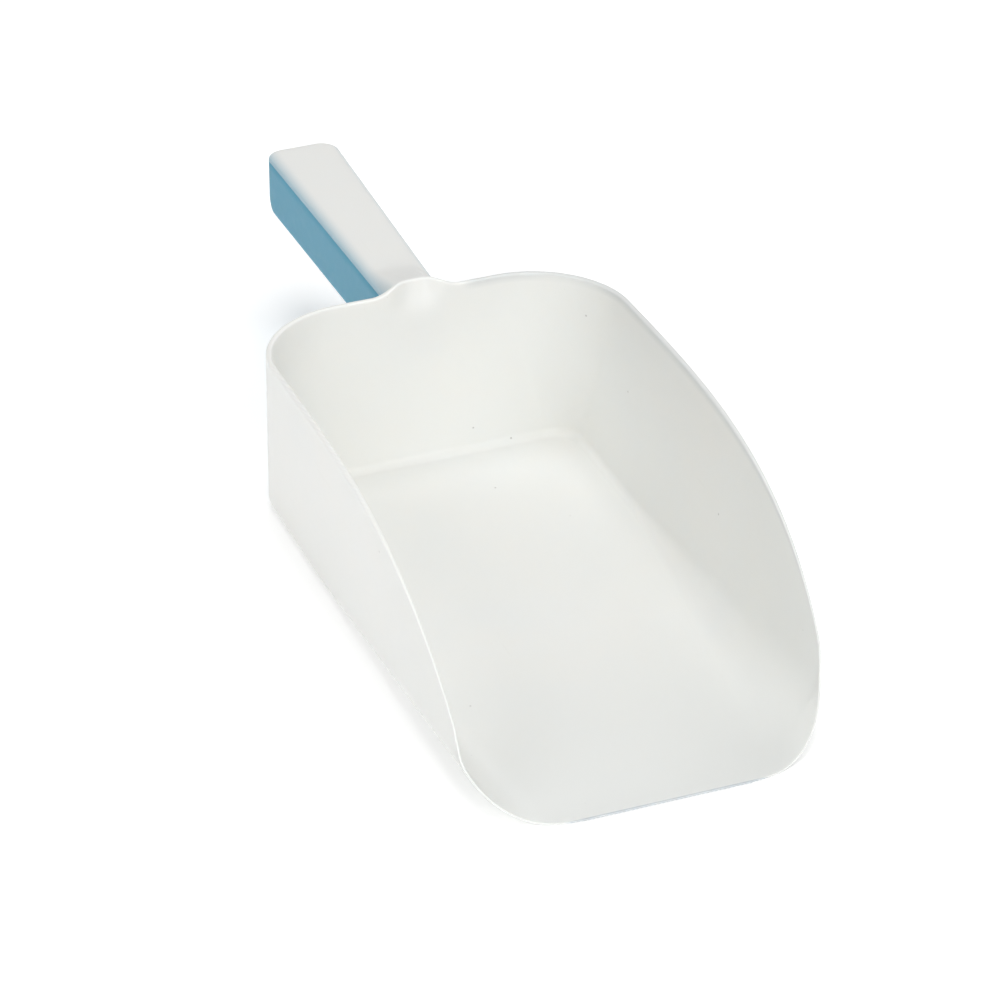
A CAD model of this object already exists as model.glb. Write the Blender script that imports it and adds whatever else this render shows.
import math

import bmesh
import bpy
import numpy as np
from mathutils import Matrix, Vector

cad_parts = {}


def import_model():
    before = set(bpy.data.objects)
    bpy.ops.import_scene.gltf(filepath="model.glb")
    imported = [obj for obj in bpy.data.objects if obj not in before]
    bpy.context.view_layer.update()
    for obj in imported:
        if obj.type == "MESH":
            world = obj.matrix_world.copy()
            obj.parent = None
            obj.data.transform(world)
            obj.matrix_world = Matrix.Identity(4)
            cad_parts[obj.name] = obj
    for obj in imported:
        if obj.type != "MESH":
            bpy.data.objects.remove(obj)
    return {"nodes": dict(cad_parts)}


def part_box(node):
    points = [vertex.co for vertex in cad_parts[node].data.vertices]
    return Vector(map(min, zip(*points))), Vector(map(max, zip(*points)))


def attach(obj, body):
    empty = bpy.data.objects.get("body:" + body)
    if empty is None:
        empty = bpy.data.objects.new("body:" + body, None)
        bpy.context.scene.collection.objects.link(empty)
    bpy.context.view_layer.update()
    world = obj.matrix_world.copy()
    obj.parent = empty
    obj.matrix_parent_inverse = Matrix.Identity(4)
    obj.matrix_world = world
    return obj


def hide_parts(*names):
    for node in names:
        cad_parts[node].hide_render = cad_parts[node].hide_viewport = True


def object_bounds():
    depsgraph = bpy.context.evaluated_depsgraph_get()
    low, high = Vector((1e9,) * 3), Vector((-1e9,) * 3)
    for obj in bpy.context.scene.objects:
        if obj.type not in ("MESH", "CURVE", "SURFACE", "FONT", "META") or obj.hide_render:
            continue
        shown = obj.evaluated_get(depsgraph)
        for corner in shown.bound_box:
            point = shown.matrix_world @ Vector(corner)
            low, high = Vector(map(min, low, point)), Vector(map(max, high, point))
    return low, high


# Feed scoop: the white moulded bowl with the top of its handle, the blue grip
# shell under the handle, and the three screws that hold the shell. The outermost
# sizes come from the frame's boxes, the others are stated here. All are in metres.

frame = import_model()
cad_low, cad_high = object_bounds()
body_low, body_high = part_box("scoop_body")
shell_low, shell_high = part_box("grip_shell")

# ---- bowl, outside sizes ----------------------------------------------------
WALL = 0.0025
LIP_X = body_high.x
BOWL_LENGTH = 0.269
REAR_X = LIP_X - BOWL_LENGTH
RIM_HEIGHT = 0.082
REAR_HALF_WIDTH = 0.0778
SIDE_FLARE = 0.010  # gain in half width per unit of length
SIDE_DRAFT = 0.078  # gain in half width per unit of height
REAR_LEAN = 0.040  # how far the rear wall leans back per unit of height
CORNER_RADIUS_FLOOR = 0.0136  # of the rear corners, at the floor, seen from above
CORNER_GROWTH = 0.356  # gain in the upright corner's radius per unit of height
HEEL_RADIUS = 0.0062
CHEEK_GROWTH = 0.1221  # gain in the heel's radius per unit of length, towards the lip
CHEEK_START_X = REAR_X + 0.066
CHEEK_EASE = 0.020  # over this length the growth sets in
LIP_HALF_WIDTH = 0.035
LIP_CORNER_RADIUS = 0.045
LIP_THICKNESS = 0.0007
LIP_TAPER = 0.170  # over this length the wall and floor thin towards the lip
LIP_INSET = 0.0009  # the last row stands this far behind the lip
EDGE_BLEND = 0.0025  # how softly the rim runs into the rounded lip
RIM_ROUND = 0.0009  # how far the rounded rim stands above the wall's faces
RIM_GAP_SHARE = 0.45  # it stands no higher than this share of the wall's thickness
RIM_SQUARENESS = 2.6  # exponent of the rounding: 2 is an ellipse, more is squarer
RIM_MARGIN = 0.0004  # the greyer tone of the rim starts this far under the rounding
RIM_FADE = 0.008  # over this length the tone sets in, beside the hump and above the lip

# The rim, seen from the side, is one Bezier curve through these controls.
RIM_CONTROLS = np.array([
    (REAR_X - 0.0233, RIM_HEIGHT + 0.0005),
    (REAR_X + 0.104, 0.0795),
    (REAR_X + 0.234, 0.1225),
    (REAR_X + 0.242, 0.0013),
    (LIP_X, 0.0013),
])

# ---- groove, hump and recess in the rear wall ---------------------------------
HUMP_HEIGHT = body_high.z - 0.0001  # a hair under the top of the CAD's box
GROOVE_HEIGHT = 0.0098
GROOVE_HALF_WIDTH = 0.0013
GROOVE_DEPTH = 0.0006
HUMP_TOP_HALF_WIDTH = 0.0065
HUMP_FOOT_HALF_WIDTH = 0.0190
RECESS_FOOT = 0.0715
RECESS_LEAN = 0.0036
RECESS_HALF_WIDTH = 0.0135
RECESS_STEEPNESS = 1.25  # above 1, the middle of the recess is flat across

# ---- handle -------------------------------------------------------------------
HANDLE_END_X = body_low.x
HANDLE_BOTTOM = shell_low.z
SHELL_TOP = shell_high.z
CAP_FLANGE = 0.0010
HANDLE_TOP = SHELL_TOP + CAP_FLANGE
HALF_WIDTH_ROOT = 0.0124
HALF_WIDTH_END = shell_high.y
HANDLE_CORNER_RADIUS = 0.0080
LEAST_CORNER_RADIUS = 0.0004
CAP_EDGE_RADIUS = 0.0008
CAP_PLATE = 0.0032
RAMP_LENGTH = 0.030
RAMP_SIDE = 0.0045  # over this width the ramp falls off to the handle's edges
RAMP_DROP = 0.0022  # the ramp starts this far under the crest of the hump
ROOT_DEPTH = 0.0012  # how deep the handle's parts reach into the rear wall
ROOT_BEND = 0.012  # over this length the handle's root bends with the recess
SHELL_WALL = 0.0022
SHELL_FLOOR = 0.0026
SHELL_TOE_RADIUS = 0.0090
SHELL_EDGE_RADIUS = 0.0036
FIT_GAP = 0.00015
ROOT_GAP = 0.0003
SEAM = 0.00022  # the shell's upper edge is eased by this much along the seam

# ---- fastening ------------------------------------------------------------------
SCREW_COUNT = 3
FIRST_SCREW = 0.026  # from the rear wall's foot to the nearest screw
SCREW_PITCH = 0.046
SCREW_PLACES = [REAR_X - FIRST_SCREW - SCREW_PITCH * i for i in range(SCREW_COUNT)]
BOSS_RADIUS = 0.0045
PILOT_RADIUS = 0.0015
SLEEVE_RADIUS = 0.0050
SLEEVE_HEIGHT = 0.0076
SLEEVE_TOP = HANDLE_BOTTOM + SLEEVE_HEIGHT
CLEARANCE_RADIUS = 0.0017
COUNTERBORE_RADIUS = 0.0033
COUNTERBORE_DEPTH = 0.0050
WEB_THICKNESS = 0.0024
WEB_HEIGHT = 0.013
WEB_END_GAP = 0.002  # the web ends this far short of the root
ROOT_BLOCK_LENGTH = 0.009
OVERLAP = 0.001  # how far parts that are joined or cut reach past each other

# ---- how finely the surfaces are divided -----------------------------------------
FLOOR_ROWS = 20
ARC_ROWS = 16
WALL_ROWS = 44
WALL_ROW_EASE = 0.2  # below 1, the rows are closer together near the foot
FLOOR_REACH = 0.62  # the floor's rows end within this share of the way to the edge
ARC_REACH = 0.85  # and the heel's rows within this share
SIDE_STATIONS = 72
LIP_STATIONS = 30
CORNER_STATIONS = 28
REAR_STATIONS = 24
RIM_STEPS = 10
RIM_CURVE_POINTS = 1500
RIM_PASSES = 4  # rounds in which the height of the wall's last row settles
HANDLE_SIDE_STATIONS = 60
HANDLE_CORNER_STATIONS = 16
HANDLE_END_STATIONS = 8
CAP_ROWS = 24
CAP_EDGE_STEPS = 6
TOE_ROWS = 16
SHELL_SIDE_ROWS = 4
ROOT_BLOCK_ROWS = 10
CIRCLE_STATIONS = 40
SHARP_ANGLE = math.radians(50)  # an edge that turns more than this stays sharp
MERGE_DISTANCE = 5e-6  # points closer than this become one
SLIVER = 1e-6  # edges shorter than this are taken out of a new mesh
JOINED_SLIVER = 2e-6  # and shorter than this, out of a finished piece

# ---- colours ------------------------------------------------------------------------
WHITE_WARM = (0.812, 0.812, 0.785, 1)
WHITE_COOL = (0.797, 0.807, 0.793, 1)
SCRATCH_TONE = (0.45, 0.45, 0.43, 1)
SPECK_TONE = (0.22, 0.20, 0.18, 1)
RIM_TONE = (0.67, 0.685, 0.68, 1)
RIM_SHARE = 0.9
LIP_TONE = (0.40, 0.45, 0.50, 1)
LIP_SHARE = 0.7
LIP_EDGE = 0.0005  # the lip's tone sets in over this length, just behind the rounded edge
THIN_TONE = (0.715, 0.73, 0.71, 1)
THIN_REACH = 0.120  # over this length the white turns to its front tone
BLUE = (0.058, 0.292, 0.425, 1)
BLUE_LIGHT = (0.068, 0.308, 0.442, 1)
BLUE_PATCH = (0.090, 0.345, 0.475, 1)
NEAR_SHOW = 0.62  # how much blue shows through the white at the -Y edge of the handle
NEAR_SHOW_REACH = 0.0068  # and how far in from the edge it does
FAR_SHOW = 0.30  # the same at the +Y edge
FAR_SHOW_REACH = 0.0022
SHOW_POWER = 1.7  # above 1, it falls off faster near the edge
SHOW_START = 0.0005  # it sets in this far inside the rear wall's outer face
SHOW_FULL = 0.003  # and is full this far behind that face
STEEL_DARK = (0.50, 0.50, 0.52, 1)
STEEL_LIGHT = (0.68, 0.68, 0.70, 1)
FLOOR_TONE = (0.95, 0.95, 0.95, 1)

# ---- finish ---------------------------------------------------------------------------
PLASTIC_IOR = 1.49
WHITE_ROUGHNESS = 0.40
WHITE_SUBSURFACE = 0.6
WHITE_DEPTH = 0.0022  # how deep light gets into the white plastic
WHITE_SPREAD = (1.0, 0.95, 0.9)  # the same for red, green and blue, as shares
WHITE_WAVES = 0.00006  # height of the waves in the moulded surface
WHITE_GRAIN = 0.000012  # height of the grain on them
SCRATCH_DIRECTIONS = (0.4, 1.3, 2.5)
SCRATCH_SHARE = 0.10
SCRATCH_ROUGHENING = 0.12
SPECKS_PER_METRE = 55.0
SPECK_SIZE = (0.030, 0.018)  # a speck's edge and its dark middle, as shares of the spacing
SPECK_SHARE = 0.45
BLUE_ROUGHNESS = 0.46
BLUE_SUBSURFACE = 0.15
BLUE_DEPTH = 0.001
BLUE_WAVES = 0.00005
BLUE_GRAIN = 0.00002
PATCH_SHARE = 0.25
STEEL_ROUGHNESS = 0.32
STEEL_MARKS = 0.00001
FLOOR_ROUGHNESS = 0.9

# ---- floor, light and camera ----------------------------------------------------------
FLOOR_SIZE = 6.0
FLOOR_DROP = 0.0002  # the floor lies this far under the scoop
FLOOR_GLOW = 0.223
SKY_STRENGTH = 0.244
LIGHT_SIZE = 1.6
CAMERA_AZIMUTH = math.radians(68.51)
CAMERA_ELEVATION = math.radians(31.63)
CAMERA_DISTANCE = 2.0665
CAMERA_LENS = 183.5
CAMERA_AIM = (0.0329, 0.0, -0.0085)  # from the middle of the scoop's box


def smoothstep(t):
    """An eased step from 0 to 1 while t goes from 0 to 1."""
    t = np.clip(t, 0.0, 1.0)
    return t * t * (3.0 - 2.0 * t)


def half_width(x, z):
    """Outside half width of the flat side walls."""
    return REAR_HALF_WIDTH + SIDE_FLARE * (x - REAR_X) - SIDE_DRAFT * (RIM_HEIGHT - z)


def rear_face(z):
    """Outside of the rear wall at a height."""
    return REAR_X - REAR_LEAN * z


def rim_height(x):
    """Height of the rim at a place along, from its Bezier curve."""
    t = np.linspace(0.0, 1.0, RIM_CURVE_POINTS)[:, None]
    degree = len(RIM_CONTROLS) - 1
    curve = sum(
        math.comb(degree, i) * t**i * (1 - t) ** (degree - i) * control
        for i, control in enumerate(RIM_CONTROLS)
    )
    return np.interp(x, curve[:, 0], curve[:, 1])


def hump_rise(x, y):
    """How far the hump stands above the curve of the rim."""
    return (HUMP_HEIGHT - rim_height(x)) * hump_share(y)


def hump_share(y):
    """From 0, beside the hump, to 1, along its top."""
    return smoothstep(
        (HUMP_FOOT_HALF_WIDTH - np.abs(y)) / (HUMP_FOOT_HALF_WIDTH - HUMP_TOP_HALF_WIDTH)
    )


def heel_radius(x):
    """Radius between the floor and the wall: constant at the rear, growing to the lip."""
    past = (x - CHEEK_START_X) / CHEEK_EASE
    eased = np.where(past < 0, 0, np.where(past < 1, past**2 / 2, past - 0.5))
    return HEEL_RADIUS + CHEEK_GROWTH * CHEEK_EASE * eased


class Stations:
    """Places round the bowl. At each, the wall is a straight line that leans out
    from a foot on the floor, and a heel arc joins it to the floor."""

    def __init__(self, foot, lean, normal):
        self.foot = np.asarray(foot, float)
        self.lean = np.asarray(lean, float)
        self.normal = np.asarray(normal, float)
        self.radius = heel_radius(self.foot[:, 0])
        self.slope = np.sum(self.lean * self.normal, axis=1)
        self.stretch = np.hypot(1.0, self.slope)
        angle = np.arctan(self.slope)
        self.tangent = self.radius / np.tan((math.pi / 2 + angle) / 2)
        self.wall_start = self.tangent / self.stretch  # height where the wall starts
        self.arc = self.radius * (math.pi / 2 - angle)
        self.drift = self.lean - self.slope[:, None] * self.normal

    def heel_line(self):
        """Where the heel arc meets the floor."""
        inset = self.normal * self.tangent[:, None]
        return self.foot - inset + self.drift * self.wall_start[:, None]

    def along_at(self, height):
        """Length along the section, from the heel line, to a height."""
        on_wall = self.arc + (height - self.wall_start) * self.stretch
        on_arc = self.radius * np.arccos(np.clip(1 - height / self.radius, -1, 1))
        return np.where(height > self.wall_start, on_wall, on_arc)

    def surface(self, along):
        """Points and outward normals at lengths along each section."""
        radius, slope = self.radius[:, None], self.slope[:, None]
        turn = np.clip(along / radius, 0, None)
        wall_z = self.wall_start[:, None] + (along - self.arc[:, None]) / self.stretch[:, None]
        on_wall = along > self.arc[:, None]
        z = np.where(on_wall, wall_z, radius * (1 - np.cos(turn)))
        out = np.where(on_wall, slope * z, radius * np.sin(turn) - self.tangent[:, None])
        drift_z = np.maximum(z, self.wall_start[:, None])[..., None]
        plan = self.foot[:, None] + self.normal[:, None] * out[..., None]
        plan = plan + self.drift[:, None] * drift_z
        side = np.where(on_wall, 1 / self.stretch[:, None], np.sin(turn))
        down = np.where(on_wall, -slope / self.stretch[:, None], -np.cos(turn))
        points = np.concatenate([plan, z[..., None]], axis=2)
        normals = np.concatenate([self.normal[:, None] * side[..., None], down[..., None]], axis=2)
        return points, normals


def corner_stations(turns):
    """Stations round the rear left corner, from the rear wall to the side wall."""
    flare_length = math.hypot(1.0, SIDE_FLARE)
    feet = []
    for z in (0.0, 1.0):
        radius = CORNER_RADIUS_FLOOR + CORNER_GROWTH * z
        centre_x = rear_face(z) + radius
        centre = np.array([centre_x, half_width(centre_x, z) - radius * flare_length])
        feet.append(centre + radius * np.stack([-np.cos(turns), np.sin(turns)], axis=1))
    normal = np.stack([-np.cos(turns), np.sin(turns)], axis=1)
    return feet[0], feet[1] - feet[0], normal


def bowl_stations():
    """Feet, leans and normals for the rear half and for the side, both at +Y."""
    last_turn = math.pi / 2 - math.atan(SIDE_FLARE)
    foot, lean, normal = corner_stations(np.linspace(0.0, last_turn, CORNER_STATIONS + 1))
    share = np.linspace(0.0, 1.0, REAR_STATIONS + 1)[:-1, None]
    rear_foot = np.hstack([np.full_like(share, foot[0, 0]), share * foot[0, 1]])
    rear_lean = np.hstack([np.full_like(share, lean[0, 0]), share * lean[0, 1]])
    rear_normal = np.repeat(normal[:1], REAR_STATIONS, axis=0)
    rear = (
        np.vstack([rear_foot, foot]),
        np.vstack([rear_lean, lean]),
        np.vstack([rear_normal, normal]),
    )
    lip_start = LIP_X - LIP_CORNER_RADIUS
    straight = np.linspace(foot[-1, 0], lip_start, SIDE_STATIONS + 1)
    turns = np.linspace(0.0, math.pi / 2, LIP_STATIONS + 1)[1:]
    rounded = lip_start + (LIP_CORNER_RADIUS - LIP_INSET) * np.sin(turns)
    x = np.concatenate([straight, rounded])
    upright = smoothstep((x - foot[-1, 0]) / (CHEEK_START_X - foot[-1, 0]))
    slant = lean[-1, 0] * (1 - upright)
    side_foot = np.stack([x, half_width(x, 0.0)], axis=1)
    side_lean = np.stack([slant, SIDE_FLARE * slant + SIDE_DRAFT], axis=1)
    side_normal = np.repeat(normal[-1:], len(x), axis=0)
    side_foot[0], side_lean[0] = foot[-1], lean[-1]
    return rear, (side_foot, side_lean, side_normal)


def top_of(stations):
    """Height of the wall's last row at each station, just under the rounded rim."""
    height = np.full(len(stations.foot), RIM_HEIGHT)
    for _ in range(RIM_PASSES):
        place = stations.foot + stations.lean * height[:, None]
        height = rim_height(place[:, 0]) + hump_rise(place[:, 0], place[:, 1]) - RIM_ROUND
    return np.maximum(height, 0.0)


def wall_shares():
    """Where the wall's rows lie, from 0 at its foot to 1 at its last row."""
    s = np.linspace(0.0, 1.0, WALL_ROWS + 1)
    return WALL_ROW_EASE * s + (1 - WALL_ROW_EASE) * s * s


def mirrored(grid):
    """The grid's columns for -Y, outermost first, then those for +Y from the middle."""
    other = grid[:, :0:-1] * np.array([1.0, -1.0, 1.0])
    return np.concatenate([other, grid], axis=1)


def length_to_lip(stations, x, floor):
    """Length along each section, from the middle of the floor, to the lip's outline
    as seen from above. Behind the lip's corners it is longer than any section."""
    radius = LIP_CORNER_RADIUS - LIP_INSET
    reach = np.clip((x - LIP_X + LIP_CORNER_RADIUS) / radius, 0, 1)
    side = LIP_HALF_WIDTH + radius * np.sqrt(1 - reach**2)
    sine = np.clip((side - floor) / stations.radius, 0, 1)
    on_arc = floor + stations.radius * np.arcsin(sine)
    height = (side - stations.foot[:, 1]) / stations.lean[:, 1]
    on_wall = floor + stations.along_at(np.maximum(height, stations.wall_start))
    on_side = np.where(height > stations.wall_start, on_wall, on_arc)
    return np.where(reach > 0, np.where(side < floor, side, on_side), BOWL_LENGTH)


def front_block(parts):
    """Floor and side walls as one grid, from the slanted end of the rear corners to
    the lip. Rows run from the rim at -Y, over the floor, to the rim at +Y."""
    stations = Stations(*parts)
    heel = stations.heel_line()
    x, floor = heel[:, 0], heel[:, 1]
    to_rim = floor + stations.along_at(top_of(stations))
    to_lip = length_to_lip(stations, x, floor)
    to_edge = -EDGE_BLEND * np.logaddexp(-to_rim / EDGE_BLEND, -to_lip / EDGE_BLEND)
    arc_start = np.minimum(floor, FLOOR_REACH * to_edge)
    arc_end = np.minimum(floor + stations.arc, ARC_REACH * to_edge)
    floor_share = np.linspace(0.0, 1.0, FLOOR_ROWS + 1)[None]
    arc_share = np.linspace(0.0, 1.0, ARC_ROWS + 1)[None, 1:]
    reach_rows = np.concatenate([
        arc_start[:, None] * floor_share,
        arc_start[:, None] + (arc_end - arc_start)[:, None] * arc_share,
        arc_end[:, None] + (to_edge - arc_end)[:, None] * wall_shares()[None, 1:],
    ], axis=1)
    points, normals = stations.surface(reach_rows - floor[:, None])
    flat = reach_rows <= floor[:, None]
    points[..., 0] = np.where(flat, x[:, None], points[..., 0])
    points[..., 1] = np.where(flat, reach_rows, points[..., 1])
    return mirrored(points), mirrored(normals)


def rear_block(parts):
    """Rear wall and both rear corners as one grid, from +Y round to -Y. Rows run
    from the heel line up to the rim."""
    stations = Stations(*parts)
    to_rim = stations.along_at(top_of(stations))
    arc_share = np.linspace(0.0, 1.0, ARC_ROWS + 1)[None]
    rows = np.concatenate([
        stations.arc[:, None] * arc_share,
        stations.arc[:, None]
        + (to_rim - stations.arc)[:, None] * wall_shares()[None, 1:],
    ], axis=1)
    points, normals = stations.surface(rows)
    flip = np.array([1.0, -1.0, 1.0])
    points = np.concatenate([points[::-1], points[1:] * flip])
    normals = np.concatenate([normals[::-1], normals[1:] * flip])
    return points, normals


def recessed(points, share=1.0):
    """The points, moved back where the rear wall leans into the hump."""
    up = (points[..., 2] - RECESS_FOOT) / (HUMP_HEIGHT - RECESS_FOOT)
    across = 1 - np.abs(points[..., 1]) / RECESS_HALF_WIDTH
    moved = points.copy()
    depth = RECESS_LEAN * smoothstep(up) * smoothstep(RECESS_STEEPNESS * across)
    moved[..., 0] -= depth * share
    return moved


def grooved(points):
    """The points, sunk into the groove along the outside of the rear wall's foot,
    which runs out in the corners."""
    across = np.clip((points[..., 2] - GROOVE_HEIGHT) / GROOVE_HALF_WIDTH, -1, 1)
    bottom = rear_face(points[..., 2]) + GROOVE_DEPTH
    depth = np.maximum(bottom - points[..., 0], 0) * np.cos(across * math.pi / 2) ** 2
    moved = points.copy()
    moved[..., 0] += depth
    return moved


class MeshMaker:
    """Collects grids, strips and caps, then makes one mesh with shared points."""

    def __init__(self):
        self.points, self.faces = [], []

    def add_points(self, points):
        start = len(self.points)
        flat = np.asarray(points, float).reshape(-1, 3)
        self.points.extend(map(tuple, flat))
        return np.arange(start, start + len(flat)).reshape(np.shape(points)[:-1])

    def grid(self, points, flipped=False, closed=False):
        """A sheet of quads over a grid of points; closed joins the last column to the first."""
        index = self.add_points(points)
        if closed:
            index = np.concatenate([index, index[:, :1]], axis=1)
        a, b = index[:-1, :-1].ravel(), index[1:, :-1].ravel()
        c, d = index[1:, 1:].ravel(), index[:-1, 1:].ravel()
        order = (d, c, b, a) if flipped else (a, b, c, d)
        self.faces.extend(zip(*(map(int, part) for part in order)))

    def cap(self, loop, flipped=False):
        """One flat face over a closed loop of points."""
        index = [int(i) for i in self.add_points(loop)]
        self.faces.append(tuple(index[::-1] if flipped else index))

    def mesh(self, name):
        data = bpy.data.meshes.new(name)
        data.from_pydata(self.points, [], self.faces)
        made = bmesh.new()
        made.from_mesh(data)
        bmesh.ops.remove_doubles(made, verts=made.verts, dist=MERGE_DISTANCE)
        bmesh.ops.dissolve_degenerate(made, edges=made.edges, dist=SLIVER)
        bmesh.ops.recalc_face_normals(made, faces=made.faces)
        made.to_mesh(data)
        made.free()
        return data


def boundary(front, rear):
    """The rim as a closed loop: +Y side, lip, -Y side, and round the rear."""
    return np.concatenate([
        front[:-1, -1],
        front[-1, ::-1],
        front[-2::-1, 0],
        rear[-2:0:-1, -1],
    ])


def rounded_edge(outer, inner, normals, height, squareness, steps):
    """Rows of points that close the gap between two edges with a rounded bead."""
    tangent = np.roll(outer, -1, axis=0) - np.roll(outer, 1, axis=0)
    away = np.cross(tangent, normals)
    away /= np.linalg.norm(away, axis=1)[:, None]
    share = (1 - np.cos(np.linspace(0, math.pi, steps + 1))) / 2
    rise = (1 - np.abs(2 * share - 1) ** squareness) ** (1 / squareness)
    height = np.broadcast_to(height, (len(outer),))
    return np.stack([
        outer * (1 - s) + inner * s + away * (height * r)[:, None]
        for s, r in zip(share, rise)
    ])


def bowl_mesh():
    rear_parts, side_parts = bowl_stations()
    front, front_normals = front_block(side_parts)
    rear, rear_normals = rear_block(rear_parts)

    def thickness(points):
        taper = smoothstep((LIP_X - points[..., :1]) / LIP_TAPER)
        return LIP_THICKNESS + (WALL - LIP_THICKNESS) * taper

    front_in = front - thickness(front) * front_normals
    rear_in = rear - thickness(rear) * rear_normals
    outer_rim, inner_rim = boundary(front, rear), boundary(front_in, rear_in)
    rim_normals = boundary(front_normals, rear_normals)
    gap = np.linalg.norm(outer_rim - inner_rim, axis=1)
    height = np.minimum(RIM_ROUND, RIM_GAP_SHARE * gap)
    bead = rounded_edge(outer_rim, inner_rim, rim_normals, height, RIM_SQUARENESS, RIM_STEPS)

    first = WALL_ROWS + ARC_ROWS
    last = first + 2 * FLOOR_ROWS
    made = MeshMaker()
    for front_grid, rear_grid, inside in (
        (front, grooved(recessed(rear)), False),
        (front_in, recessed(rear_in), True),
    ):
        made.grid(front_grid, flipped=inside)
        made.grid(rear_grid, flipped=inside)
        floor_loop = np.concatenate([front_grid[0, first:last], rear_grid[:-1, 0]])
        made.cap(floor_loop, flipped=inside)
    made.grid(recessed(bead), closed=True)
    return made.mesh("bowl")


def handle_outline(inset, root_x, end_inset=None):
    """The handle's plan as an open line from the root at +Y, round the end, to the
    root at -Y, with the direction that points away from the handle."""
    end_x = HANDLE_END_X + (inset if end_inset is None else end_inset)
    slope = (HALF_WIDTH_END - HALF_WIDTH_ROOT) / (REAR_X - HANDLE_END_X)
    radius = max(HANDLE_CORNER_RADIUS - inset, LEAST_CORNER_RADIUS)
    centre_x = end_x + radius
    share = np.linspace(0.0, 1.0, HANDLE_SIDE_STATIONS + 1)
    x = root_x + (centre_x - root_x) * share
    side = HALF_WIDTH_ROOT + slope * (REAR_X - x) - inset
    turn = np.linspace(0.0, math.pi / 2, HANDLE_CORNER_STATIONS + 1)[1:]
    arc_x = centre_x - radius * np.sin(turn)
    arc_y = side[-1] - radius + radius * np.cos(turn)
    end_y = np.linspace(side[-1] - radius, 0.0, HANDLE_END_STATIONS + 1)[1:]
    x = np.concatenate([x, arc_x, np.full(len(end_y), end_x)])
    y = np.concatenate([side, arc_y, end_y])
    away_x = np.concatenate([np.zeros(len(share)), -np.sin(turn), -np.ones(len(end_y))])
    away_y = np.concatenate([np.ones(len(share)), np.cos(turn), np.zeros(len(end_y))])
    line = np.stack([x, y], axis=1)
    away = np.stack([away_x, away_y], axis=1)
    flip = np.array([1.0, -1.0])
    return (
        np.concatenate([line, line[-2::-1] * flip]),
        np.concatenate([away, away[-2::-1] * flip]),
    )


def ramp_rise(x, y):
    """How far the ramp from the hump stands above the level top of the handle."""
    root_x = rear_face(RIM_HEIGHT)
    crest = rim_height(root_x) + hump_rise(root_x, y) - HANDLE_TOP - RAMP_DROP
    down = smoothstep(1 - (root_x - x) / RAMP_LENGTH)
    across = smoothstep((HALF_WIDTH_ROOT - np.abs(y)) / RAMP_SIDE)
    return crest * down * across


def cap_mesh():
    """White top of the handle: a plate with rounded upper edges and a step under it
    that fits inside the grip shell."""
    root_x = rear_face(HANDLE_TOP) + ROOT_DEPTH
    line, away = handle_outline(CAP_EDGE_RADIUS, root_x)
    # The last row across is the flat end, so the stations along it are left out.
    count = HANDLE_SIDE_STATIONS + HANDLE_CORNER_STATIONS + 1
    rows = np.linspace(1.0, -1.0, CAP_ROWS + 1)
    top = np.zeros((count, len(rows), 3))
    top[..., 0] = line[:count, :1]
    top[..., 1] = line[:count, 1:] * rows
    top[..., 2] = HANDLE_TOP + ramp_rise(top[..., 0], top[..., 1])
    rim = np.concatenate([top[:, 0], top[-1, 1:], top[-2::-1, -1], top[0, -2:0:-1]])
    side_away = away[:count]
    end_away = np.tile([-1.0, 0.0], (len(rows) - 2, 1))
    flip = np.array([1.0, -1.0])
    root_away = np.zeros((len(rows) - 2, 2))
    outward = np.concatenate([side_away, end_away, side_away[::-1] * flip, root_away])

    def bent(points):
        return recessed(points, smoothstep(1 - (root_x - points[..., 0]) / ROOT_BEND))

    def ring(out, z):
        points = rim.copy()
        points[:, :2] += outward * out
        points[:, 2] = z
        return points

    rings = [rim]
    for turn in np.linspace(0.0, math.pi / 2, CAP_EDGE_STEPS + 1)[1:]:
        sunk = rim[:, 2] - CAP_EDGE_RADIUS * (1 - math.cos(turn))
        rings.append(ring(CAP_EDGE_RADIUS * math.sin(turn), sunk))
    step_in = CAP_EDGE_RADIUS - SHELL_WALL - FIT_GAP
    rings.append(ring(CAP_EDGE_RADIUS, SHELL_TOP))
    rings.append(ring(step_in, SHELL_TOP))
    rings.append(ring(step_in, HANDLE_TOP - CAP_PLATE))
    made = MeshMaker()
    made.grid(bent(top))
    made.grid(bent(np.stack(rings)), closed=True)
    made.cap(bent(rings[-1]))
    return made.mesh("cap")


def stack_mesh(rings):
    """A closed solid through a stack of rings."""
    made = MeshMaker()
    made.grid(np.stack(rings), closed=True)
    made.cap(rings[0])
    made.cap(rings[-1])
    return made.mesh("stack")


def prism_mesh(outline, low, high):
    """A closed upright prism over an outline."""
    outline = np.asarray(outline, float)
    return stack_mesh([
        np.column_stack([outline, np.full(len(outline), z)]) for z in (low, high)
    ])


def rectangle(x_low, x_high, half):
    """Corners of a rectangle about the middle plane."""
    return [(x_low, -half), (x_high, -half), (x_high, half), (x_low, half)]


def root_block_mesh(x_low, half, low, high):
    """The solid root of the handle, which follows the recessed rear wall."""
    y = np.linspace(half, -half, ROOT_BLOCK_ROWS + 1)
    rings = []
    for z in np.linspace(low, high, ROOT_BLOCK_ROWS + 1):
        wall = np.stack([np.full_like(y, rear_face(z) + ROOT_DEPTH), y], axis=1)
        wall = recessed(np.column_stack([wall, np.full_like(y, z)]))
        back = np.array([(x_low, -half, z), (x_low, half, z)])
        rings.append(np.concatenate([back, wall]))
    return stack_mesh(rings)


def circle(x, radius):
    """Points round a circle on the middle plane."""
    turns = np.linspace(0.0, 2 * math.pi, CIRCLE_STATIONS, endpoint=False)
    return np.stack([x + radius * np.cos(turns), radius * np.sin(turns)], axis=1)


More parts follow.
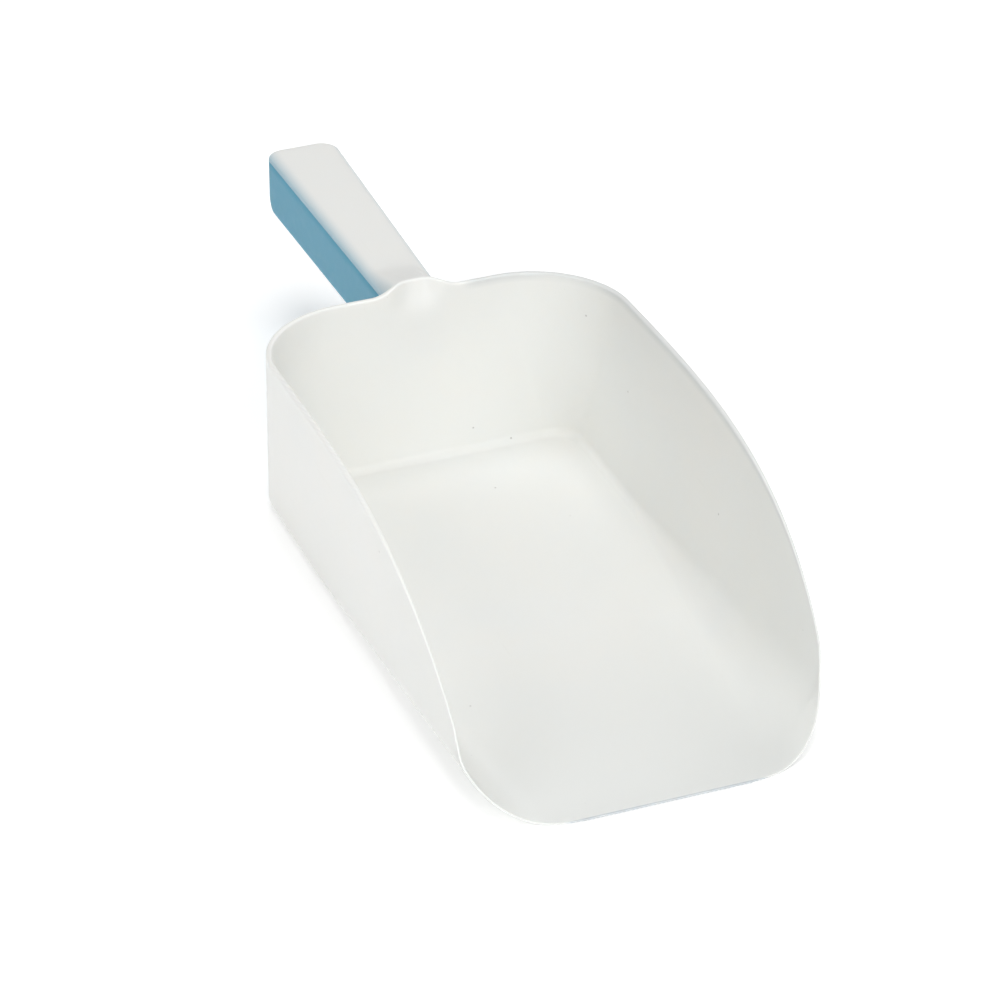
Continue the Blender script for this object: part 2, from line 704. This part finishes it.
def combined(base, others, operation):
    """The base mesh with the others joined to it or cut from it."""
    holder = bpy.data.objects.new("holder", base)
    bpy.context.scene.collection.objects.link(holder)
    tools = []
    for mesh in others:
        tool = bpy.data.objects.new("tool", mesh)
        bpy.context.scene.collection.objects.link(tool)
        tools.append(tool)
        step = holder.modifiers.new("step", "BOOLEAN")
        step.operation = operation
        step.solver = "MANIFOLD"
        step.object = tool
    depsgraph = bpy.context.evaluated_depsgraph_get()
    result = bpy.data.meshes.new_from_object(holder.evaluated_get(depsgraph))
    for used in [holder, *tools]:
        bpy.data.objects.remove(used)
    return result


def piece(name, mesh):
    """An object for a finished mesh, smooth except across sharp edges."""
    made = bmesh.new()
    made.from_mesh(mesh)
    bmesh.ops.dissolve_degenerate(made, edges=made.edges, dist=JOINED_SLIVER)
    made.to_mesh(mesh)
    made.free()
    mesh.name = name
    mesh.shade_smooth()
    mesh.set_sharp_from_angle(angle=SHARP_ANGLE)
    thing = bpy.data.objects.new(name, mesh)
    bpy.context.scene.collection.objects.link(thing)
    return thing


def mark_rim(mesh):
    """Mark the rounded rim on the +Y side of the hump, which takes a greyer tone."""
    points = np.empty(3 * len(mesh.vertices))
    mesh.vertices.foreach_get("co", points)
    x, y, z = points.reshape(-1, 3).T
    on_rim = smoothstep((z - rim_height(x) + RIM_ROUND + RIM_MARGIN) / RIM_MARGIN)
    past_hump = smoothstep((y - HUMP_FOOT_HALF_WIDTH) / RIM_FADE)
    above_lip = smoothstep((z - RIM_FADE) / RIM_FADE)
    mark = mesh.attributes.new("rim", "FLOAT", "POINT")
    mark.data.foreach_set("value", on_rim * past_hump * above_lip)


def scoop_body():
    """Bowl and handle top in one moulding, with the ribs and bosses under the handle."""
    plate_bottom = HANDLE_TOP - CAP_PLATE
    buried = plate_bottom + OVERLAP
    inside = HALF_WIDTH_ROOT - SHELL_WALL - FIT_GAP
    root_x = rear_face(SLEEVE_TOP) + ROOT_DEPTH
    joined = [
        cap_mesh(),
        root_block_mesh(root_x - ROOT_BLOCK_LENGTH, inside, SLEEVE_TOP, buried),
        prism_mesh(
            rectangle(SCREW_PLACES[-1], root_x - WEB_END_GAP, WEB_THICKNESS / 2),
            plate_bottom - WEB_HEIGHT,
            buried,
        ),
    ]
    joined += [prism_mesh(circle(x, BOSS_RADIUS), SLEEVE_TOP, buried) for x in SCREW_PLACES]
    solid = combined(bowl_mesh(), joined, "UNION")
    holes = [
        prism_mesh(circle(x, PILOT_RADIUS), SLEEVE_TOP - OVERLAP, plate_bottom)
        for x in SCREW_PLACES
    ]
    made = piece("white_scoop", combined(solid, holes, "DIFFERENCE"))
    mark_rim(made.data)
    return made


def shell_rings(wall, floor_z, top_z, seam):
    """Rings of the grip shell's outside or inside, from the upper edge to the floor,
    each an open line round the handle. The far end's lower corner is the larger arc."""
    toe = SHELL_TOE_RADIUS - (floor_z - HANDLE_BOTTOM)
    edge = SHELL_EDGE_RADIUS - wall
    turns = np.linspace(math.pi / 2, 0.0, TOE_ROWS + 1)
    heights = list(np.linspace(top_z - SEAM, floor_z + toe, SHELL_SIDE_ROWS + 1)[:-1])
    heights += list(floor_z + toe * (1 - np.cos(turns)))
    rings = []
    for z, extra in [(top_z, seam)] + [(z, 0.0) for z in heights]:
        up = z - floor_z
        side_in = edge - math.sqrt(max(edge**2 - max(edge - up, 0.0) ** 2, 0.0))
        end_in = toe - math.sqrt(max(toe**2 - max(toe - up, 0.0) ** 2, 0.0))
        line, _ = handle_outline(
            wall + side_in + extra, rear_face(z) - ROOT_GAP, end_inset=wall + end_in + extra
        )
        rings.append(np.column_stack([line, np.full(len(line), z)]))
    return np.stack(rings)


def edge_of(rings):
    """The open edge of a set of rings: round the top, down one end, and up the other."""
    return np.concatenate([rings[0], rings[1:, -1], rings[:0:-1, 0]])


def grip_shell():
    """Blue shell of the grip: a trough closed at the far end, with three sleeves for
    the screws and their counterbores."""
    outer = shell_rings(0.0, HANDLE_BOTTOM, SHELL_TOP, SEAM)
    inner = shell_rings(SHELL_WALL, HANDLE_BOTTOM + SHELL_FLOOR, SHELL_TOP, 0.0)
    made = MeshMaker()
    for rings in (outer, inner):
        made.grid(rings)
        made.cap(rings[-1])
    made.grid(np.stack([edge_of(outer), edge_of(inner)]), closed=True)
    middle_of_floor = HANDLE_BOTTOM + SHELL_FLOOR / 2
    seat = HANDLE_BOTTOM + COUNTERBORE_DEPTH
    below = HANDLE_BOTTOM - OVERLAP
    above = SLEEVE_TOP + OVERLAP
    sleeves, holes = [], []
    for x in SCREW_PLACES:
        sleeves.append(prism_mesh(circle(x, SLEEVE_RADIUS), middle_of_floor, SLEEVE_TOP))
        holes.append(prism_mesh(circle(x, COUNTERBORE_RADIUS), below, seat))
        holes.append(prism_mesh(circle(x, CLEARANCE_RADIUS), below, above))
    solid = combined(made.mesh("shell"), sleeves, "UNION")
    return piece("blue_grip", combined(solid, holes, "DIFFERENCE"))


# ---- materials -----------------------------------------------------------------------
class Nodes:
    """A small helper that adds nodes to a material and links them."""

    def __init__(self, name):
        self.material = bpy.data.materials.new(name)
        self.material.use_nodes = True
        self.tree = self.material.node_tree
        self.shader = self.tree.nodes["Principled BSDF"]
        self.place = self.add("ShaderNodeTexCoord").outputs["Object"]

    def add(self, kind, **settings):
        node = self.tree.nodes.new(kind)
        for key, value in settings.items():
            setattr(node, key, value)
        return node

    def link(self, value, socket):
        if isinstance(value, bpy.types.NodeSocket):
            self.tree.links.new(value, socket)
        else:
            socket.default_value = value

    def axes(self):
        """The three coordinates of a point."""
        node = self.add("ShaderNodeSeparateXYZ")
        self.link(self.place, node.inputs[0])
        return node.outputs

    def math(self, operation, *values, clamp=False):
        node = self.add("ShaderNodeMath", operation=operation, use_clamp=clamp)
        for value, socket in zip(values, node.inputs):
            self.link(value, socket)
        return node.outputs[0]

    def noise(self, scale, detail=2.0, rough=0.5, stretch=None, turn=(0.0, 0.0, 0.0)):
        """Noise about 0, within -1 and 1. A scale of 1000 gives blobs about 1 mm wide."""
        place = self.place
        if stretch is not None:
            mapping = self.add("ShaderNodeMapping")
            self.link(place, mapping.inputs["Vector"])
            mapping.inputs["Scale"].default_value = stretch
            mapping.inputs["Rotation"].default_value = turn
            place = mapping.outputs["Vector"]
        node = self.add("ShaderNodeTexNoise")
        self.link(place, node.inputs["Vector"])
        node.inputs["Scale"].default_value = scale
        node.inputs["Detail"].default_value = detail
        node.inputs["Roughness"].default_value = rough
        return self.math("MULTIPLY_ADD", node.outputs["Fac"], 2.0, -1.0)

    def ramp(self, value, low, high, at_low=0.0, at_high=1.0):
        """A straight change from at_low to at_high while the value goes from low to high."""
        node = self.add("ShaderNodeMapRange")
        self.link(value, node.inputs["Value"])
        node.inputs["From Min"].default_value = low
        node.inputs["From Max"].default_value = high
        node.inputs["To Min"].default_value = at_low
        node.inputs["To Max"].default_value = at_high
        return node.outputs["Result"]

    def mix(self, share, first, second):
        """A colour between two others. The mix node's sockets 6, 7 and 2 are its colours."""
        node = self.add("ShaderNodeMix", data_type="RGBA")
        self.link(share, node.inputs[0])
        self.link(first, node.inputs[6])
        self.link(second, node.inputs[7])
        return node.outputs[2]

    def uneven(self, noise, first, second):
        """A colour that wanders between two others with a noise."""
        return self.mix(self.ramp(noise, -0.5, 0.5), first, second)

    def rough_about(self, middle, spread, noise):
        """A roughness that a noise takes up and down from a middle value."""
        return self.math("MULTIPLY_ADD", noise, spread, middle)

    def bump(self, height, distance, below=None):
        """A normal for a relief of this depth, laid over the relief below it."""
        node = self.add("ShaderNodeBump")
        self.link(height, node.inputs["Height"])
        node.inputs["Distance"].default_value = distance
        if below is not None:
            self.link(below, node.inputs["Normal"])
        return node.outputs["Normal"]

    def set(self, **values):
        """Give values or sockets to the shader's inputs, named with _ for a space."""
        for name, value in values.items():
            self.link(value, self.shader.inputs[name.replace("_", " ")])


def blue_show(nodes):
    """How much of the blue shell shows through the thin edge of the white handle top,
    strongest along its -Y side."""
    x, y, z = nodes.axes()
    slope = (HALF_WIDTH_END - HALF_WIDTH_ROOT) / (REAR_X - HANDLE_END_X)
    side = nodes.math("MULTIPLY_ADD", x, -slope, HALF_WIDTH_ROOT + slope * REAR_X)
    show = 0.0
    edges = ((1.0, NEAR_SHOW_REACH, NEAR_SHOW), (-1.0, FAR_SHOW_REACH, FAR_SHOW))
    for direction, reach, strength in edges:
        inward = nodes.math("MULTIPLY_ADD", y, direction, side)
        left = nodes.math("SUBTRACT", 1.0, nodes.math("DIVIDE", inward, reach), clamp=True)
        part = nodes.math("MULTIPLY", nodes.math("POWER", left, SHOW_POWER), strength)
        show = nodes.math("ADD", show, part)
    root_x = rear_face(HANDLE_TOP)
    on_handle = nodes.ramp(x, root_x + SHOW_START, root_x - SHOW_FULL)
    on_top = nodes.ramp(z, HANDLE_BOTTOM, SHELL_TOP)
    return nodes.math("MULTIPLY", nodes.math("MULTIPLY", show, on_handle), on_top)


def thin_share(nodes):
    """From 0 to 1 over the last stretch before the lip."""
    return nodes.ramp(nodes.axes()[0], LIP_X - THIN_REACH, LIP_X)


def lip_share(nodes):
    """From 0 to 1 over the last of the lip, and a little uneven along it."""
    edge = nodes.ramp(nodes.axes()[0], LIP_X - LIP_INSET - LIP_EDGE, LIP_X - LIP_INSET)
    uneven = nodes.ramp(nodes.noise(160.0, detail=3.0), -0.6, 0.2, at_low=0.55, at_high=1.0)
    return nodes.math("MULTIPLY", edge, uneven)


def scratch_share(nodes):
    """From 0 to 1 on hairline scratches that run three ways, in scattered patches."""
    scratches = 0.0
    for turn in SCRATCH_DIRECTIONS:
        lines = nodes.noise(260.0, detail=1.0, stretch=(0.06, 3.0, 3.0), turn=(0.0, 0.0, turn))
        scratches = nodes.math("MAXIMUM", scratches, nodes.ramp(lines, 0.50, 0.58))
    patches = nodes.ramp(nodes.noise(30.0, detail=2.0), 0.12, 0.35)
    return nodes.math("MULTIPLY", scratches, patches)


def speck_share(nodes):
    """From 0 to 1 on small dark specks."""
    cells = nodes.add("ShaderNodeTexVoronoi")
    nodes.link(nodes.place, cells.inputs["Vector"])
    cells.inputs["Scale"].default_value = SPECKS_PER_METRE
    return nodes.ramp(cells.outputs["Distance"], *SPECK_SIZE)


def white_plastic():
    """Translucent white polypropylene: slightly uneven tone, a fine moulded texture,
    and the hairline scratches and specks of use."""
    nodes = Nodes("white_polypropylene")
    colour = nodes.uneven(nodes.noise(22.0, detail=3.0), WHITE_WARM, WHITE_COOL)
    scratches = scratch_share(nodes)
    colour = nodes.mix(nodes.math("MULTIPLY", scratches, SCRATCH_SHARE), colour, SCRATCH_TONE)
    specks = nodes.math("MULTIPLY", speck_share(nodes), SPECK_SHARE)
    colour = nodes.mix(specks, colour, SPECK_TONE)
    colour = nodes.mix(thin_share(nodes), colour, THIN_TONE)
    rim = nodes.add("ShaderNodeAttribute", attribute_name="rim").outputs["Fac"]
    colour = nodes.mix(nodes.math("MULTIPLY", rim, RIM_SHARE), colour, RIM_TONE)
    colour = nodes.mix(blue_show(nodes), colour, BLUE)
    colour = nodes.mix(nodes.math("MULTIPLY", lip_share(nodes), LIP_SHARE), colour, LIP_TONE)
    roughness = nodes.rough_about(WHITE_ROUGHNESS, 0.06, nodes.noise(180.0, detail=4.0))
    roughness = nodes.math("MULTIPLY_ADD", scratches, SCRATCH_ROUGHENING, roughness)
    normal = nodes.bump(nodes.noise(60.0, detail=1.0), WHITE_WAVES)
    normal = nodes.bump(nodes.noise(1500.0, detail=2.0), WHITE_GRAIN, below=normal)
    nodes.set(Base_Color=colour, Roughness=roughness, Normal=normal, IOR=PLASTIC_IOR)
    nodes.set(Subsurface_Weight=WHITE_SUBSURFACE, Subsurface_Scale=WHITE_DEPTH)
    nodes.set(Subsurface_Radius=WHITE_SPREAD)
    return nodes.material


def blue_plastic():
    """Blue polypropylene with a fine moulded grain and faint lighter patches."""
    nodes = Nodes("blue_polypropylene")
    colour = nodes.uneven(nodes.noise(35.0, detail=4.0, rough=0.6), BLUE, BLUE_LIGHT)
    patches = nodes.noise(120.0, detail=5.0, rough=0.7, stretch=(0.3, 1.0, 1.0))
    patches = nodes.math("MULTIPLY", nodes.ramp(patches, 0.2, 0.5), PATCH_SHARE)
    colour = nodes.mix(patches, colour, BLUE_PATCH)
    roughness = nodes.rough_about(BLUE_ROUGHNESS, 0.07, nodes.noise(220.0, detail=4.0))
    normal = nodes.bump(nodes.noise(70.0, detail=1.0), BLUE_WAVES)
    normal = nodes.bump(nodes.noise(1800.0, detail=2.0), BLUE_GRAIN, below=normal)
    nodes.set(Base_Color=colour, Roughness=roughness, Normal=normal, IOR=PLASTIC_IOR)
    nodes.set(Subsurface_Weight=BLUE_SUBSURFACE, Subsurface_Scale=BLUE_DEPTH)
    return nodes.material


def screw_steel():
    """Zinc-plated steel with fine marks that run round the screws."""
    nodes = Nodes("screw_steel")
    colour = nodes.uneven(nodes.noise(700.0, detail=3.0), STEEL_DARK, STEEL_LIGHT)
    roughness = nodes.rough_about(STEEL_ROUGHNESS, 0.10, nodes.noise(1500.0, detail=3.0))
    marks = nodes.noise(2500.0, detail=2.0, stretch=(1.0, 1.0, 6.0))
    normal = nodes.bump(marks, STEEL_MARKS)
    nodes.set(Base_Color=colour, Roughness=roughness, Normal=normal, Metallic=1.0)
    return nodes.material


def place(thing, node, slot, material):
    """The piece stands for the CAD's node and takes the slot's finish."""
    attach(thing, "root")
    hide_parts(node)
    thing.data.materials.clear()
    thing.data.materials.append(material)


place(scoop_body(), "scoop_body", "white_plastic", white_plastic())
place(grip_shell(), "grip_shell", "blue_plastic", blue_plastic())
screws = frame["nodes"]["grip_screws"]
screws.data.materials.clear()
screws.data.materials.append(screw_steel())


# ---- floor, light and camera ---------------------------------------------------------
def floor():
    """A plain pale floor that glows a little, so that it comes out white."""
    made = MeshMaker()
    half = FLOOR_SIZE / 2
    made.cap([(-half, -half, 0), (half, -half, 0), (half, half, 0), (-half, half, 0)])
    thing = bpy.data.objects.new("floor", made.mesh("floor"))
    bpy.context.scene.collection.objects.link(thing)
    material = bpy.data.materials.new("paper")
    material.use_nodes = True
    shader = material.node_tree.nodes["Principled BSDF"]
    shader.inputs["Base Color"].default_value = FLOOR_TONE
    shader.inputs["Roughness"].default_value = FLOOR_ROUGHNESS
    shader.inputs["Emission Color"].default_value = (1, 1, 1, 1)
    shader.inputs["Emission Strength"].default_value = FLOOR_GLOW
    thing.data.materials.append(material)
    thing.location.z = -FLOOR_DROP
    return thing


def world():
    """A plain white sky."""
    sky = bpy.data.worlds.new("studio")
    bpy.context.scene.world = sky
    sky.use_nodes = True
    background = sky.node_tree.nodes["Background"]
    background.inputs["Color"].default_value = (1, 1, 1, 1)
    background.inputs["Strength"].default_value = SKY_STRENGTH


def area_light(name, place, power):
    """A round soft light that faces the frame's origin."""
    lamp = bpy.data.lights.new(name, "AREA")
    lamp.shape = "DISK"
    lamp.size = LIGHT_SIZE
    lamp.energy = power
    thing = bpy.data.objects.new(name, lamp)
    thing.location = place
    thing.rotation_euler = (-Vector(place)).to_track_quat("-Z", "Y").to_euler()
    bpy.context.scene.collection.objects.link(thing)


def camera():
    """A long lens in front of the lip, a little to the -Y side, that looks down."""
    aim = (cad_low + cad_high) / 2 + Vector(CAMERA_AIM)
    away = Vector((
        math.sin(CAMERA_AZIMUTH) * math.cos(CAMERA_ELEVATION),
        -math.cos(CAMERA_AZIMUTH) * math.cos(CAMERA_ELEVATION),
        math.sin(CAMERA_ELEVATION),
    ))
    data = bpy.data.cameras.new("camera")
    data.lens = CAMERA_LENS
    data.sensor_width = 36.0
    data.clip_end = 100.0
    thing = bpy.data.objects.new("camera", data)
    thing.location = aim + away * CAMERA_DISTANCE
    thing.rotation_mode = "QUATERNION"
    thing.rotation_quaternion = (-away).to_track_quat("-Z", "Y")
    bpy.context.scene.collection.objects.link(thing)
    bpy.context.scene.camera = thing


floor()
world()
area_light("top", (0, 0, 2.4), 24.6)
area_light("front", (2.3, 0, 0.7), 28.3)
area_light("left", (0.3, -1.9, 1.4), 13.7)
area_light("rear_right", (-1.35, 1.35, 1.4), 11.7)
area_light("key", (1.72, -0.25, 1.65), 1.0)
camera()
bpy.context.scene.view_settings.view_transform = "Standard"
